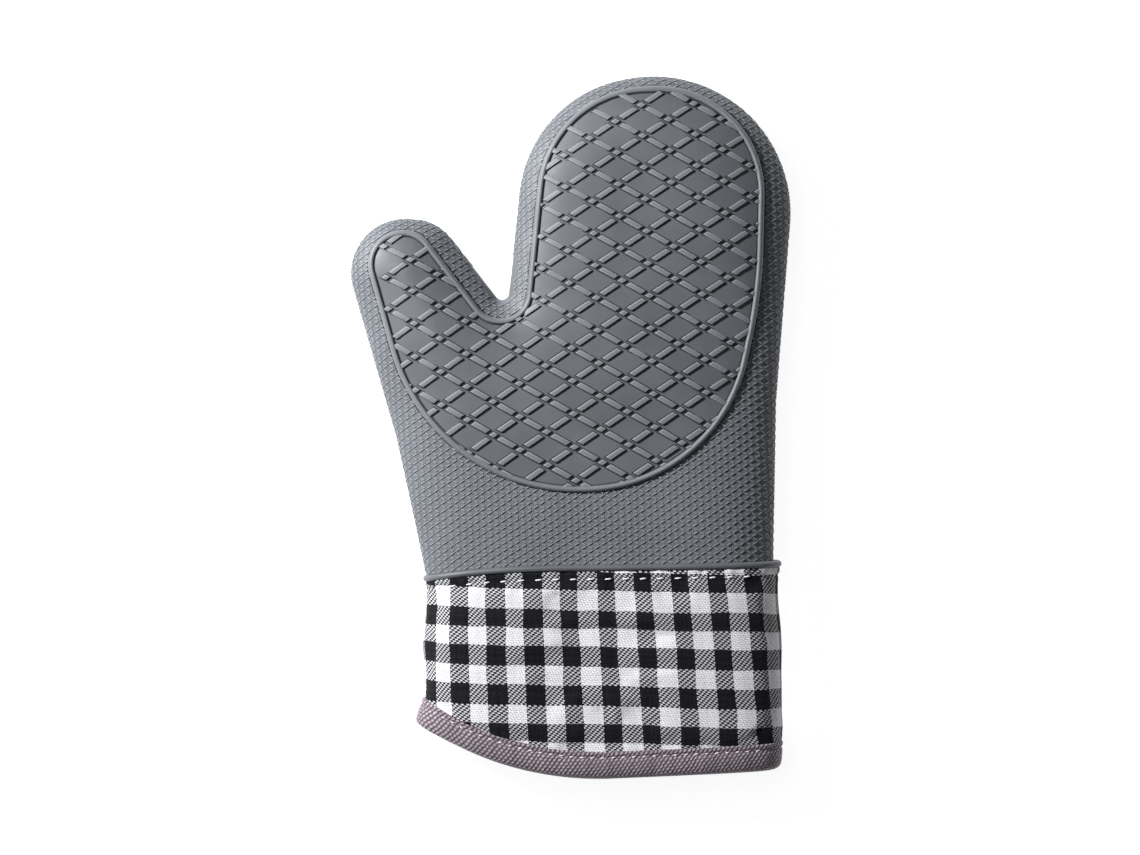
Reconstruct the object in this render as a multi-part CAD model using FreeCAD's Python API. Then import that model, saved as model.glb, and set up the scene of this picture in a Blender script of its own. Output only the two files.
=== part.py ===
import FreeCAD, Part

import math
import os

# Oven mitt: a moulded silicone mitten over a padded cotton lining, sewn to a short gingham cuff with a
# bound mouth.  The mitt lies flat on its back.  X runs across the hand with the thumb at -X, Y points
# to the fingertips and Z points up out of the palm.  The origin is on the floor under the middle of the
# whole mitt.  All sizes are in millimetres.
#
# The silicone, the wadding and the lining bend as one at the knuckles and at the thumb's root, so each
# of them is made in three stretches (palm, fingers, thumb) that meet at the two fold lines.

# ---- driving dimensions
THICKNESS = 28.0          # silicone mitten, face to face, without its raised pattern
EDGE_ROUND = 6.2          # rounding of the mitten's rim, front and back
SILICONE = 1.4            # layer thicknesses, from the outside in
CLOTH = 0.6
WADDING = 3.8
LINING = 0.8
PATTERN_HEIGHT = 0.9      # bead and bars above the silicone's face
HEM_Y = -57.5             # where the silicone ends and the cuff shows
MOUTH_Y = -145.0          # lowest point of the bound mouth
TUBE_END = -150.0         # where the cuff's tube ends before the mouth's edge is cut
CUFF_THICKNESS = 24.0     # cuff at its mouth, face to face
CUFF_LEFT = -72.0         # cuff's side edges at its mouth
CUFF_RIGHT = 79.0
TAPE = 0.6                # binding tape: thickness and width
TAPE_WIDTH = 11.5
THREAD = 0.25             # how far a stitch stands above its cloth
FOLD_GAP = 0.3            # clearance between two bodies at a fold line

# Corners of the mitten in plan, clockwise from the hem's left end, with the radius that rounds each.
# The last two run past the hem, which trims them.
BELOW_HEM = -90.0
MITTEN = [
    (-59.3, BELOW_HEM, 0),
    (-75.0, 0.0, 80),
    (-97.5, 92.0, 21.5),
    (-56.0, 89.0, 19.5),
    (-27.0, 48.0, 4),
    (-13.6, 139.2, 52.3),
    (99.4, 153.7, 56),
    (81.8, 9.0, 74),
    (75.8, BELOW_HEM, 0),
]

# Corners of the raised bead that frames the grip panel, along the bead's middle.
PANEL = [
    (-60.7, -24.6, 79),
    (-86.6, 84.5, 13),
    (-63.2, 84.5, 12),
    (-22.3, 26.2, 12.2),
    (-6.0, 139.8, 45),
    (82.6, 139.8, 43),
    (77.3, 54.4, 200),
    (56.7, -24.6, 68),
]
BEAD = 2.4                # width of that bead
PLATE = 0.4               # the panel's own sheet, set flush into the silicone

# Diamond pattern on the panel: one bar along each side of a cell and a lozenge at each crossing.
CELL_X = 21.85            # a cell's two diagonals
CELL_Y = 13.5
CROSSING = (-0.3, 6.9)    # one crossing of the pattern
BAR_SPAN = 0.592          # a bar's length and width, as shares of the cell's side
BAR_SHARE = 0.218

# Fold lines: the knuckles, square to Y, and the thumb's root, square to the thumb.
KNUCKLE_Y = 80.0
THUMB_ROOT = (-35.9, 66.4)
THUMB_LEAN = 24.2         # degrees from +X to the thumb's fold line
CROTCH_X = -33.0          # the gap between thumb and fingers, at the fold lines

# Stitches
STITCH_WIDTH = 0.6
HEM_STITCH_PITCH = 7.2
HEM_STITCH_LENGTH = 2.9
HEM_STITCH_DROP = 4.6     # below the hem
TAPE_STITCH_PITCH = 4.3
TAPE_STITCH_LENGTH = 2.4
TAPE_STITCH_DROP = 2.5    # below the tape's inner edge
HEM_FLANGE = 6.5          # silicone under the cuff's cloth, where the hem stitches hold it
HEM_BEAD_RADIUS = 1.15
HEM_BEAD_SINK = 0.4

# ---- levels worked out from them
FLOOR = PATTERN_HEIGHT
TOP = FLOOR + THICKNESS
MIDDLE = FLOOR + THICKNESS / 2
DEPTH_WADDING = SILICONE
DEPTH_LINING = DEPTH_WADDING + WADDING - (SILICONE - CLOTH)
DEPTH_HAND = DEPTH_LINING + LINING
MOUTH_CENTRE = (8.0, -10.0)
MOUTH_RADIUS = MOUTH_CENTRE[1] - MOUTH_Y
MOUTH_TURN = math.radians(53)   # how far the mouth's edge curves round, past the cuff's left side
FAR = 200.0               # well past the mitt in every direction


def V(x, y, z=0.0):
    return FreeCAD.Vector(x, y, z)


def arc(start, middle, end):
    return Part.Arc(start, middle, end).toShape()


def line(start, end):
    return Part.LineSegment(start, end).toShape()


def crossing_point(point_a, along_a, point_b, along_b):
    """Where two lines in plan meet, each given by a point and a direction."""
    cross = along_a.x * along_b.y - along_a.y * along_b.x
    gap = point_b - point_a
    return point_a + along_a * ((gap.x * along_b.y - gap.y * along_b.x) / cross)


def outline(corners, inset=0.0):
    """Closed wire round clockwise corners (x, y, radius), moved inwards by inset.

    A right turn is an outside corner, whose radius shrinks by the inset; a left turn is an inside
    corner, whose radius grows by it.
    """
    count = len(corners)
    points = [V(x, y) for x, y, _ in corners]
    alongs = [(points[(i + 1) % count] - points[i]).normalize() for i in range(count)]
    moved = [points[i] + V(alongs[i].y, -alongs[i].x) * inset for i in range(count)]
    rounds = []
    for i in range(count):
        before = alongs[i - 1]
        after = alongs[i]
        corner = crossing_point(moved[i - 1], before, moved[i], after)
        left_turn = before.x * after.y - before.y * after.x > 0
        radius = corners[i][2]
        if radius:
            radius += inset if left_turn else -inset
        half_turn = before.getAngle(after) / 2
        reach = radius * math.tan(half_turn)
        inward = (after - before).normalize()
        middle = corner + inward * (radius / math.cos(half_turn) - radius)
        rounds.append((corner - before * reach, middle, corner + after * reach))
    edges = []
    for i in range(count):
        start, middle, end = rounds[i]
        if corners[i][2]:
            edges.append(arc(start, middle, end))
        edges.append(line(end, rounds[(i + 1) % count][0]))
    return Part.Wire(edges)


def slab(wire, low, high):
    """The area inside a flat wire, raised between two levels."""
    solid = Part.Face(wire).extrude(V(0, 0, high - low))
    solid.translate(V(0, 0, low))
    return solid


def polygon_slab(points, low, high):
    return slab(Part.makePolygon([V(*p) for p in points + points[:1]]), low, high)


def block(low, high):
    return Part.makeBox(high[0] - low[0], high[1] - low[1], high[2] - low[2], V(*low))


# ---- the mitten's body: nested rounded slabs, one inside the other
def mitten(inset):
    """The whole mitten down to the hem, shrunk by inset on every side."""
    low = FLOOR + inset
    high = TOP - inset
    solid = slab(outline(MITTEN, inset), low, high)
    rim = []
    for edge in solid.Edges:
        box = edge.BoundBox
        level = box.ZLength < 1e-6
        if level and box.YMax > HEM_Y:
            rim.append(edge)
    solid = solid.makeFillet(EDGE_ROUND - inset, rim)
    return solid.common(block((-FAR, HEM_Y, -FAR), (FAR, FAR, FAR)))


# ---- the cuff: a flattened tube that tapers to its mouth
def cuff_section(y, inset):
    """Rounded rectangle across the cuff, at the hem or at the end of the tube."""
    share = (HEM_Y - y) / (HEM_Y - MOUTH_Y)
    hem_left, hem_right = hem_ends()
    left = hem_left + (CUFF_LEFT - hem_left) * share + inset
    right = hem_right + (CUFF_RIGHT - hem_right) * share - inset
    low = FLOOR + inset
    high = TOP - (THICKNESS - CUFF_THICKNESS) * share - inset
    radius = EDGE_ROUND - inset
    tuck = radius * (1 - math.sqrt(0.5))
    return Part.Wire([
        line(V(left + radius, y, low), V(right - radius, y, low)),
        arc(V(right - radius, y, low), V(right - tuck, y, low + tuck), V(right, y, low + radius)),
        line(V(right, y, low + radius), V(right, y, high - radius)),
        arc(V(right, y, high - radius), V(right - tuck, y, high - tuck), V(right - radius, y, high)),
        line(V(right - radius, y, high), V(left + radius, y, high)),
        arc(V(left + radius, y, high), V(left + tuck, y, high - tuck), V(left, y, high - radius)),
        line(V(left, y, high - radius), V(left, y, low + radius)),
        arc(V(left, y, low + radius), V(left + tuck, y, low + tuck), V(left + radius, y, low)),
    ])


def hem_ends():
    """Left and right edge of the mitten at the hem."""
    ends = []
    for (x0, y0, _), (x1, y1, _) in ((MITTEN[0], MITTEN[1]), (MITTEN[-1], MITTEN[-2])):
        ends.append(x0 + (x1 - x0) * (HEM_Y - y0) / (y1 - y0))
    return ends


def cuff_tube(inset):
    return Part.makeLoft([cuff_section(HEM_Y, inset), cuff_section(TUBE_END, inset)], True, True)


def past_mouth(margin):
    """Everything that lies past the mouth's curved edge, or up to margin short of it."""
    cx, cy = MOUTH_CENTRE
    radius = MOUTH_RADIUS - margin
    lowest = V(cx, cy - radius)
    middle = V(cx - radius * math.sin(MOUTH_TURN / 2), cy - radius * math.cos(MOUTH_TURN / 2))
    left = V(cx - radius * math.sin(MOUTH_TURN), cy - radius * math.cos(MOUTH_TURN))
    around = [lowest, V(FAR, lowest.y), V(FAR, -FAR), V(-FAR, -FAR), V(-FAR, left.y), left]
    sides = [line(start, end) for start, end in zip(around, around[1:])]
    return slab(Part.Wire([arc(left, middle, lowest)] + sides), -FAR, FAR)


def cuff_layer(outer, inner):
    """One layer of the cuff, cut along the mouth just inside the tape's fold."""
    return cuff_tube(outer).cut(cuff_tube(inner)).cut(past_mouth(TAPE))


def hem_bead():
    """Round bead along the silicone's end."""
    path = cuff_section(HEM_Y, HEM_BEAD_SINK)
    start = path.Vertexes[0].Point
    circle = Part.Circle(start, V(1, 0, 0), HEM_BEAD_RADIUS)
    return path.makePipeShell([Part.Wire(circle.toShape())], True, False)


def binding():
    """Tape folded over the raw edge of the mouth, outside and inside."""
    band = cuff_tube(-TAPE).cut(cuff_tube(DEPTH_HAND + TAPE))
    band = band.common(past_mouth(TAPE_WIDTH)).cut(past_mouth(0))
    filling = cuff_tube(0).cut(cuff_tube(DEPTH_HAND)).cut(past_mouth(TAPE))
    return band.cut(filling)


# ---- the grip panel: a sheet with a bead round it and the diamond pattern on it
def lozenge(centre, along_a, along_b):
    """Parallelogram about a centre, with the given half sides."""
    return [centre + along_a + along_b, centre + along_a - along_b,
            centre - along_a - along_b, centre - along_a + along_b]


def pattern_faces():
    """The bars and lozenges over the whole panel, as flat faces."""
    side_a = V(CELL_X / 2, CELL_Y / 2)
    side_b = V(CELL_X / 2, -CELL_Y / 2)
    half_long = BAR_SPAN / 2
    half_wide = BAR_SHARE / 2
    room = outline(PANEL).BoundBox
    reach = int(room.DiagonalLength / CELL_Y)
    shapes = []
    for i in range(-reach, reach):
        for j in range(-reach, reach):
            node = V(*CROSSING) + side_a * i + side_b * j
            shapes.append(lozenge(node, side_a * half_wide, side_b * half_wide))
            shapes.append(lozenge(node + side_a * 0.5, side_a * half_long, side_b * half_wide))
            shapes.append(lozenge(node + side_b * 0.5, side_a * half_wide, side_b * half_long))
    faces = []
    for corners in shapes:
        wire = Part.makePolygon(corners + corners[:1])
        if room.intersect(wire.BoundBox):
            faces.append(Part.Face(wire))
    return faces


def grip_panel():
    """Front grip panel, in one piece over palm, fingers and thumb."""
    inside = Part.Face(outline(PANEL, BEAD / 2))
    ring = Part.Face(outline(PANEL, -BEAD / 2)).cut(inside)
    bars = Part.makeCompound(pattern_faces()).common(Part.Face(outline(PANEL)))
    raised = [ring.extrude(V(0, 0, PATTERN_HEIGHT))]
    raised += [face.extrude(V(0, 0, PATTERN_HEIGHT)) for face in bars.Faces]
    for piece in raised:
        piece.translate(V(0, 0, TOP))
    sheet = slab(outline(PANEL, -BEAD / 2), TOP - PLATE, TOP)
    return sheet.multiFuse(raised)


def to_back(shape):
    """The same thing on the back of the hand."""
    return shape.mirror(V(0, 0, MIDDLE), V(0, 0, 1))


# ---- bodies and plies
def fingers_region(margin):
    """Everything beyond the knuckle fold."""
    return block((CROTCH_X, KNUCKLE_Y + margin, -FAR), (FAR, FAR, FAR))


def thumb_region(margin):
    """Everything beyond the fold at the thumb's root."""
    lean = math.radians(THUMB_LEAN)
    along = V(math.cos(lean), math.sin(lean))
    start = V(*THUMB_ROOT) + V(-along.y, along.x) * margin
    near = start + along * ((CROTCH_X - start.x) / along.x)
    far = start + along * ((-FAR - start.x) / along.x)
    return polygon_slab([(near.x, near.y), (far.x, far.y), (-FAR, FAR), (CROTCH_X, FAR)], -FAR, FAR)


def in_three(shape):
    """A layer of the mitten cut at the fold lines, as body name and solid."""
    half = FOLD_GAP / 2
    return {
        "palm": shape.cut(fingers_region(-half)).cut(thumb_region(-half)),
        "fingers": shape.common(fingers_region(half)),
        "thumb": shape.common(thumb_region(half)),
    }


def back_half():
    """Everything below the side seams, which run half-way up the mitten and the cuff."""
    mouth_middle = FLOOR + CUFF_THICKNESS / 2
    seam = [(FAR, MIDDLE), (HEM_Y, MIDDLE), (MOUTH_Y, mouth_middle), (-FAR, mouth_middle)]
    side = [(FAR, -FAR)] + seam + [(-FAR, -FAR)]
    face = Part.Face(Part.makePolygon([V(-FAR, y, z) for y, z in side + side[:1]]))
    return face.extrude(V(2 * FAR, 0, 0))


def plies(layer):
    """Front and back ply of a layer that is sewn together along its sides."""
    half = back_half()
    return {"front": layer.cut(half), "back": layer.common(half)}


# ---- stitches
def dash(x, y, turn, length):
    """One stitch in plan, as a post that a thin layer cuts to its thickness."""
    post = block((-length / 2, -STITCH_WIDTH / 2, -FAR), (length / 2, STITCH_WIDTH / 2, FAR))
    post.rotate(V(0, 0), V(0, 0, 1), turn)
    post.translate(V(x, y))
    return post


def stitches_on(depth, posts):
    """The stitches that stand on the cuff's surface at this depth, front and back."""
    skin = cuff_tube(depth - THREAD).cut(cuff_tube(depth))
    return Part.makeCompound(skin.common(Part.makeCompound(posts)).Solids)


def hem_stitches():
    left, right = hem_ends()
    x = left + EDGE_ROUND
    posts = []
    while x < right - EDGE_ROUND:
        posts.append(dash(x, HEM_Y - HEM_STITCH_DROP, 0, HEM_STITCH_LENGTH))
        x += HEM_STITCH_PITCH
    return stitches_on(0, posts)


def binding_stitches():
    """A row along the tape: round the mouth's arc, then straight to the right side."""
    cx, cy = MOUTH_CENTRE
    radius = MOUTH_RADIUS - TAPE_WIDTH + TAPE_STITCH_DROP
    posts = []
    angle = -90.0
    step = math.degrees(TAPE_STITCH_PITCH / radius)
    x = cx
    while x > CUFF_LEFT + EDGE_ROUND:
        y = cy + radius * math.sin(math.radians(angle))
        posts.append(dash(x, y, angle + 90, TAPE_STITCH_LENGTH))
        angle -= step
        x = cx + radius * math.cos(math.radians(angle))
    x = cx + TAPE_STITCH_PITCH
    while x < CUFF_RIGHT - EDGE_ROUND:
        posts.append(dash(x, cy - radius, 0, TAPE_STITCH_LENGTH))
        x += TAPE_STITCH_PITCH
    return stitches_on(-TAPE, posts)


# ---- the pieces
def mitten_pieces():
    """Silicone shell, wadding, lining and grip panels, each in three stretches."""
    silicone_inside = mitten(DEPTH_WADDING)
    lining_outside = mitten(DEPTH_LINING)
    shell = mitten(0).cut(silicone_inside)
    recess = slab(outline(PANEL, -BEAD / 2), TOP - PLATE, TOP)
    shell = shell.cut(recess).cut(to_back(recess))
    panel = grip_panel()
    layers = {"grip_panel_front": panel, "grip_panel_back": to_back(panel)}
    for side, ply in plies(silicone_inside.cut(lining_outside)).items():
        layers["wadding_" + side] = ply
    for side, ply in plies(lining_outside.cut(mitten(DEPTH_HAND))).items():
        layers["lining_" + side] = ply
    pieces = {}
    for name, layer in layers.items():
        for body, solid in in_three(layer).items():
            pieces[name + "_" + body] = solid
    for body, solid in in_three(shell).items():
        pieces["silicone_shell_" + body] = solid
    return pieces


def cuff_pieces():
    """Gingham cloth, wadding and lining of the cuff, its binding and its two rows of stitches."""
    flange_room = block((-FAR, HEM_Y - HEM_FLANGE, -FAR), (FAR, HEM_Y, FAR))
    flange = cuff_layer(CLOTH, SILICONE).common(flange_room)
    pieces = {
        "binding_tape": binding(),
        "binding_stitches": binding_stitches(),
        "hem_stitches": hem_stitches(),
    }
    bead = hem_bead()
    layers = {
        "cuff_gingham": cuff_layer(0, CLOTH).cut(bead),
        "cuff_wadding": cuff_layer(CLOTH, DEPTH_LINING).cut(flange).cut(bead),
        "cuff_lining": cuff_layer(DEPTH_LINING, DEPTH_HAND),
    }
    for name, layer in layers.items():
        for side, ply in plies(layer).items():
            pieces[name + "_" + side] = ply
    return pieces, bead, flange


def build():
    """Every piece by its name.  The hem's bead and flange are part of the silicone's palm stretch."""
    pieces = mitten_pieces()
    cuff, bead, flange = cuff_pieces()
    pieces.update(cuff)
    for name in ("wadding_front_palm", "wadding_back_palm"):
        pieces[name] = pieces[name].cut(bead)
    pieces["silicone_shell_palm"] = pieces["silicone_shell_palm"].multiFuse([bead, flange]).removeSplitter()
    return pieces


os.makedirs("parts", exist_ok=True)
for node, shape in sorted(build().items()):
    shape.exportStep("parts/" + node + ".step")
    box = shape.BoundBox
    print("%-26s solids %3d  volume %9.1f  z %.2f to %.2f  valid %s" % (
        node, len(shape.Solids), shape.Volume, box.ZMin, box.ZMax, shape.isValid()))
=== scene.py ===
import math

import bmesh
import bpy
import numpy as np
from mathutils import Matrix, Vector, geometry


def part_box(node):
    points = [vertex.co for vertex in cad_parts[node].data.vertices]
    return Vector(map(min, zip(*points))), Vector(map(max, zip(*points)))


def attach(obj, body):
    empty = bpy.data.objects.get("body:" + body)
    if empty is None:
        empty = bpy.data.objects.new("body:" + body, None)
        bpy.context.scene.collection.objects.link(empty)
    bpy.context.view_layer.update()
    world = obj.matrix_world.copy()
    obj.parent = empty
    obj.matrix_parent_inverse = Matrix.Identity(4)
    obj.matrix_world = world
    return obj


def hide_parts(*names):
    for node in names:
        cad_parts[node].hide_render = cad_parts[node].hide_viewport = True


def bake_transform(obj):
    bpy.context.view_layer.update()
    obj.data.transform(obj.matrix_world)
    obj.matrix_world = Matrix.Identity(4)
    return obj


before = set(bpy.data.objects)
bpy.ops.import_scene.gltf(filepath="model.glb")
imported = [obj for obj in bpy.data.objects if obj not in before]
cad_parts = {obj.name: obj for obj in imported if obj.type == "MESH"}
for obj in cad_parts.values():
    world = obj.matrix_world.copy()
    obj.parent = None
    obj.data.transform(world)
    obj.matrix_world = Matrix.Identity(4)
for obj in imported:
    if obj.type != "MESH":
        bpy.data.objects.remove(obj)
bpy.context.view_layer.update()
MM = 0.001                     # every size below is in millimetres


def span(node):
    """Lowest and highest corner of a CAD node, in millimetres."""
    return [np.array(corner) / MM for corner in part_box(node)]


# ---- levels from the frame, and the depths of the layers
SHELL_LOW, SHELL_HIGH = span("silicone_shell_fingers")
MIDDLE = (SHELL_LOW[2] + SHELL_HIGH[2]) / 2
HEM_Y = span("cuff_gingham_front")[1][1]
MOUTH_Y = span("binding_tape")[0][1]
SILICONE = 1.4
LINING_DEPTH = 4.4             # outside of the lining, below the mitt's surface
HAND_DEPTH = 5.2               # inside of the lining
FILLING_DEPTHS = (SILICONE + 0.1, LINING_DEPTH + 0.4)   # the wadding's two faces
WELD = 0.02                    # points closer than this are one
SKIN_STEP = 1.5                # of the skin's mesh along the outline

# Corners of the mitten in plan, clockwise, with the radius that rounds each, as in the CAD part.
BELOW_HEM = -90.0
MITTEN = [
    (-59.3, BELOW_HEM, 0),
    (-75.0, 0.0, 80),
    (-97.5, 92.0, 21.5),
    (-56.0, 89.0, 19.5),
    (-27.0, 48.0, 4),
    (-13.6, 139.2, 52.3),
    (99.4, 153.7, 56),
    (81.8, 9.0, 74),
    (75.8, BELOW_HEM, 0),
]
PANEL = [
    (-60.7, -24.6, 79),
    (-86.6, 84.5, 13),
    (-63.2, 84.5, 12),
    (-22.3, 26.2, 12.2),
    (-6.0, 139.8, 45),
    (82.6, 139.8, 43),
    (77.3, 54.4, 200),
    (56.7, -24.6, 68),
]
BEAD = 2.6                     # bead round the grip panel: its width

# ---- how the skin is rounded
RIM = 10.0                     # width of the rounded rim, in plan
RIM_POWER = 2.4                # superellipse of the rim's section
PUFF = 1.0                     # the soft rim bulges this far past the CAD outline
CROWN = 4.8                    # how much the palm face rises from the rim to the middle
CROWN_REACH = 13.0
WAVES_REACH = 6.0              # the face's waves fade in from the rim
FRONT_EDGE = SHELL_HIGH[2] - CROWN - 0.3   # palm face where the rim starts
BACK_LEVEL = SHELL_LOW[2] + 0.95   # back face, which lies flat

# ---- diamond pattern
CELL = np.array([21.85, 13.5])     # a cell's two diagonals
CROSSING = np.array([-1.3, 6.85])   # one crossing of the pattern
BAR_SPAN = 0.592               # a bar's length and width, as shares of the cell's side
BAR_SHARE = 0.205
FINE = 0.25                    # the fine pattern round the panel, to a quarter of the size
FINE_RISE = 0.42
FINE_BEVEL = 0.035             # as a share of the fine cell's side, like the rest of these
FINE_BARS = [                  # place in the cell and half sizes
    (0.0, 0.0, 0.11, 0.11),
    (0.5, 0.0, 0.33, 0.11),
    (0.0, 0.5, 0.11, 0.29),
]
DRIFT_MIDDLE = (14, 38)        # the panel's pattern closes up away from here
DRIFT_GROWTH = -0.0002
DRIFTS = [                     # and strays here: middle, reach, move
    ((-25, -10), 32, (-1.25, 0.0)),
    ((-80, 50), 26, (1.1, 0.9)),
]

# ---- fold lines: where the moving stretches start to bend, and which way the thumb's fold line runs
BEND_START_Y = 60.0
THUMB_BEND_START = np.array([-31.0, 55.5])
THUMB_LEAN = math.radians(24.2)
THUMB_ACROSS = np.array([math.cos(THUMB_LEAN), math.sin(THUMB_LEAN)])
THUMB_ALONG = np.array([-math.sin(THUMB_LEAN), math.cos(THUMB_LEAN)])
CROTCH = np.array([-29.5, 59.0])   # middle of the gap between thumb and fingers


# ================================================================ plan curves
def cross(u, v):
    return u[0] * v[1] - u[1] * v[0]


class Curve:
    """A rounded outline in plan, as evenly spaced points with outward normals."""

    def __init__(self, corners, inset, step, closed):
        points = np.array([c[:2] for c in corners], float)
        count = len(points)
        ahead = np.roll(points, -1, axis=0) - points
        along = ahead / np.linalg.norm(ahead, axis=1)[:, None]
        moved = points + inset * np.stack([along[:, 1], -along[:, 0]], 1)
        arcs = []
        for i in range(count):
            before, after = along[i - 1], along[i]
            turn = cross(before, after)
            corner = moved[i - 1] + before * cross(moved[i] - moved[i - 1], after) / turn
            radius = corners[i][2]
            if radius:
                radius += inset if turn > 0 else -inset
            half = math.acos(np.clip(before @ after, -1, 1)) / 2
            reach = radius * math.tan(half)
            start, end = corner - before * reach, corner + after * reach
            arcs.append((start, end, before, half, radius, np.sign(turn)))
        points, normals = [], []
        for i in range(count if closed else count - 1):
            start, end, before, half, radius, hand = arcs[i]
            if radius and (closed or i):
                steps = max(2, int(2 * half * radius / step))
                side = np.array([-before[1], before[0]])
                centre = start + side * radius * hand
                for k in range(steps):
                    a = 2 * half * k / steps
                    outward = side * math.cos(a) - before * math.sin(a) * hand
                    normals.append(outward)
                    points.append(centre - outward * radius * hand)
            goal = arcs[(i + 1) % count][0]
            steps = max(1, int(np.linalg.norm(goal - end) / step))
            side = np.array([-along[i][1], along[i][0]])
            for k in range(steps):
                points.append(end + (goal - end) * k / steps)
                normals.append(side)
        if not closed:
            points.append(arcs[-1][0])
            normals.append(normals[-1])
        self.points = np.array(points)
        self.normals = np.array(normals)

    def distance(self, xy):
        """Distance outwards from the curve, and the normal there."""
        xy = np.asarray(xy, float)
        nearest = np.empty(len(xy), int)
        for low in range(0, len(xy), 4000):
            part = xy[low:low + 4000]
            squares = ((part[:, None, :] - self.points[None]) ** 2).sum(2)
            nearest[low:low + 4000] = squares.argmin(1)
        normal = self.normals[nearest]
        return ((xy - self.points[nearest]) * normal).sum(1), normal


RIM_CURVE = Curve(MITTEN, RIM - PUFF, 0.5, closed=False)
PANEL_CURVE = Curve(PANEL, 0.0, 0.4, closed=True)


# ================================================================ the skin of the mitten
def waves(xy):
    """Very shallow unevenness of the soft body."""
    x, y = xy[:, 0], xy[:, 1]
    return 0.22 * np.sin(x / 17 + 0.6) * np.sin(y / 23 + 1.1) + 0.12 * np.sin((x + y) / 11)


def running(steps):
    """Length so far, at both ends of every step."""
    return np.concatenate([[0], np.cumsum(steps)])


def level(xy, side, depth, inside):
    """Height of the palm face (side 1) or the back face (side -1), a depth below its surface."""
    if side < 0:
        return BACK_LEVEL + depth + 0 * inside
    rise = CROWN * (1 - np.exp(-np.maximum(inside, 0) / CROWN_REACH))
    return FRONT_EDGE + rise + waves(xy) * (1 - np.exp(-np.maximum(inside, 0) / WAVES_REACH)) - depth


def rim_table(depth, side):
    """Section of the rim: developed length, way out, share of the height, and normal."""
    phi = np.linspace(0, math.pi / 2, 400)
    out = (RIM - depth) * np.sin(phi) ** (2 / RIM_POWER)
    share = np.cos(phi) ** (2 / RIM_POWER)
    tall = (FRONT_EDGE - MIDDLE if side > 0 else MIDDLE - BACK_LEVEL) - depth
    length = running(np.hypot(np.diff(out), np.diff(share * tall)))
    slope = np.stack([-np.gradient(share * tall), np.gradient(out)], 1)
    slope /= np.linalg.norm(slope, axis=1)[:, None]
    return length, out, share, slope


def on_rim(base, normal, along, side, depth, lift):
    """Points on the rounded rim: base points on the rim's start, and the developed distance out."""
    length, out, share, slope = rim_table(depth, side)
    way = np.interp(along, length, out)
    tall = np.interp(along, length, share)
    tilt_out = np.interp(along, length, slope[:, 0])
    tilt_up = np.interp(along, length, slope[:, 1])
    slope_here = CROWN / CROWN_REACH if side > 0 else 0
    start = level(base, side, depth, np.zeros(len(base))) - slope_here * way
    xy = base + normal * (way + lift * tilt_out)[:, None]
    z = MIDDLE + (start - MIDDLE) * tall + side * lift * tilt_up
    return np.column_stack([xy, z])


def on_skin(flat, side, depth=0.0, lift=0.0):
    """Places points of the unrolled skin on the mitten: flat in the middle, rolled over at the rim."""
    out, normal = RIM_CURVE.distance(flat)
    base = flat - normal * out[:, None]
    rolled = on_rim(base, normal, np.maximum(out, 0), side, depth, lift)
    z = level(flat, side, depth, -out) + side * lift
    return np.where((out > 0)[:, None], rolled, np.column_stack([flat, z]))


def under(xy, side, lift=0.0):
    """Places points that are given in plan on the skin, above the same spot."""
    length, out_at, _, _ = rim_table(0.0, side)
    out, normal = RIM_CURVE.distance(xy)
    developed = np.interp(out, out_at, length)
    flat = xy + normal * np.where(out > 0, developed - out, 0)[:, None]
    return on_skin(flat, side, 0.0, lift)


# ================================================================ mesh tools
class Shape:
    """Points, faces and rest coordinates of a mesh in the making."""

    def __init__(self):
        self.points, self.rest, self.faces, self.count = [], [], [], 0

    def add(self, points, rest, faces):
        self.points.append(np.asarray(points, float))
        rest = np.asarray(rest, float)
        if rest.shape[1] == 2:
            rest = np.column_stack([rest, np.zeros(len(rest))])
        self.rest.append(rest)
        if isinstance(faces, np.ndarray):
            faces = faces.tolist()
        self.faces += [[i + self.count for i in f] for f in faces]
        self.count += len(points)

    def piece(self, name, material, sharp=None):
        """The mesh as an object, shaded smooth but for edges sharper than the given angle."""
        mesh = bpy.data.meshes.new(name)
        points = np.concatenate(self.points) * MM
        mesh.from_pydata(points.tolist(), [], self.faces)
        rest = mesh.attributes.new("rest", "FLOAT_VECTOR", "POINT")
        rest.data.foreach_set("vector", np.concatenate(self.rest).astype(np.float32).ravel())
        mesh.validate()
        mesh.shade_smooth()
        if sharp:
            mesh.set_sharp_from_angle(angle=math.radians(sharp))
        mesh.materials.append(material)
        return linked(name, mesh)


def linked(name, data):
    obj = bpy.data.objects.new(name, data)
    bpy.context.scene.collection.objects.link(obj)
    return obj


def grid_faces(rows, columns, closed=False, flip=False):
    faces = []
    for r in range(rows - 1):
        for c in range(columns if closed else columns - 1):
            d = (c + 1) % columns
            quad = (r * columns + c, r * columns + d, (r + 1) * columns + d, (r + 1) * columns + c)
            faces.append(quad[::-1] if flip else quad)
    return faces


def filled(boundary, spacing, margin, curve):
    """Triangles that fill a flat outline, with evenly spread points inside it."""
    low, high = boundary.min(0), boundary.max(0)
    xs = np.arange(low[0], high[0], spacing)
    ys = np.arange(low[1], high[1], spacing * 0.866)
    gx, gy = np.meshgrid(xs, ys)
    gx = gx + (np.arange(len(ys)) % 2)[:, None] * spacing / 2
    inner = np.column_stack([gx.ravel(), gy.ravel()])
    out, _ = curve.distance(inner)
    inner = inner[(out < -margin) & (inner[:, 1] > low[1] + margin)]
    count = len(boundary)
    loop = [(i, (i + 1) % count) for i in range(count)]
    points = [Vector(p) for p in np.vstack([boundary, inner])]
    xy, _, faces, *_ = geometry.delaunay_2d_cdt(points, loop, [], 1, 1e-5)
    return np.array([tuple(p) for p in xy]), faces


def cut(work, point, normal, **settings):
    everything = work.verts[:] + work.edges[:] + work.faces[:]
    bmesh.ops.bisect_plane(work, geom=everything, plane_co=point, plane_no=normal, dist=1e-7, **settings)


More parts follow.
